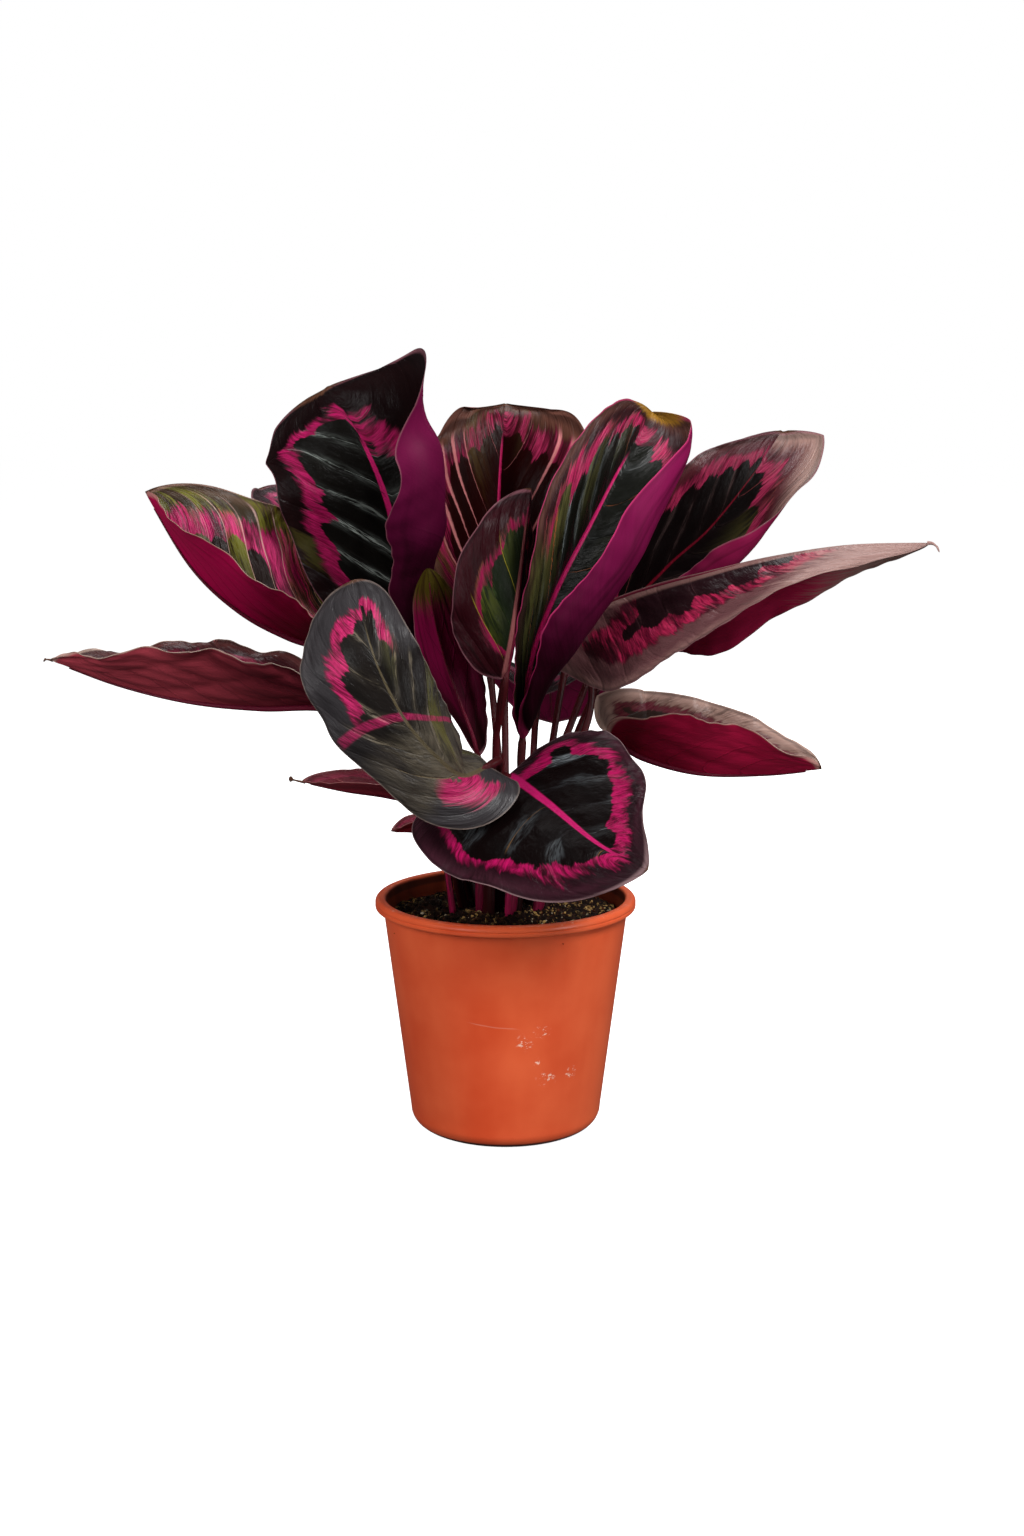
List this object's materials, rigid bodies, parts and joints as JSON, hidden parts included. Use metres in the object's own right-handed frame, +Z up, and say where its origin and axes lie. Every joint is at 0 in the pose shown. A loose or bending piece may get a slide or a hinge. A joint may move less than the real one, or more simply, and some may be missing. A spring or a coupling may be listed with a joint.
{
  "type": "potted calathea",
  "caption": "Prayer plant with broad leaves patterned in pink on near-black green, on slender red stalks, in a tapered round nursery pot with a rolled rim.",
  "frame": {"origin": "centre of the pot's underside, on the surface that the pot stands on", "axes": "+Z up along the pot's axis, +X to the right and -Y towards the viewer of the plant's best side"},
  "size_m": [0.4374, 0.2665, 0.4123],
  "materials": {
    "pot_plastic": "moulded terracotta-coloured plastic with a soft sheen",
    "potting_mix": "dark crumbly peat with tan fibres and pale specks",
    "leaf": "waxy living leaf, near-black green with a pink ring above and wine red below"
  },
  "bodies": {
    "root": {"pot": "pot_plastic", "soil": "potting_mix", "leaf_crown_left": "leaf", "leaf_left_up": "leaf", "leaf_left_low": "leaf", "leaf_front_left": "leaf", "leaf_front_round": "leaf", "leaf_back_centre": "leaf", "leaf_centre_right": "leaf", "leaf_centre_folded": "leaf", "leaf_right_up": "leaf", "leaf_right_long": "leaf", "leaf_right_low": "leaf", "leaf_left_small": "leaf", "leaf_left_tiny": "leaf", "leaf_young_rolled": "leaf", "leaf_rear_left": "leaf", "leaf_rear_centre": "leaf", "leaf_rear_right": "leaf", "leaf_rear_level_left": "leaf", "leaf_rear_level_right": "leaf", "leaf_rear_low": "leaf"}
  },
  "joints": []
}
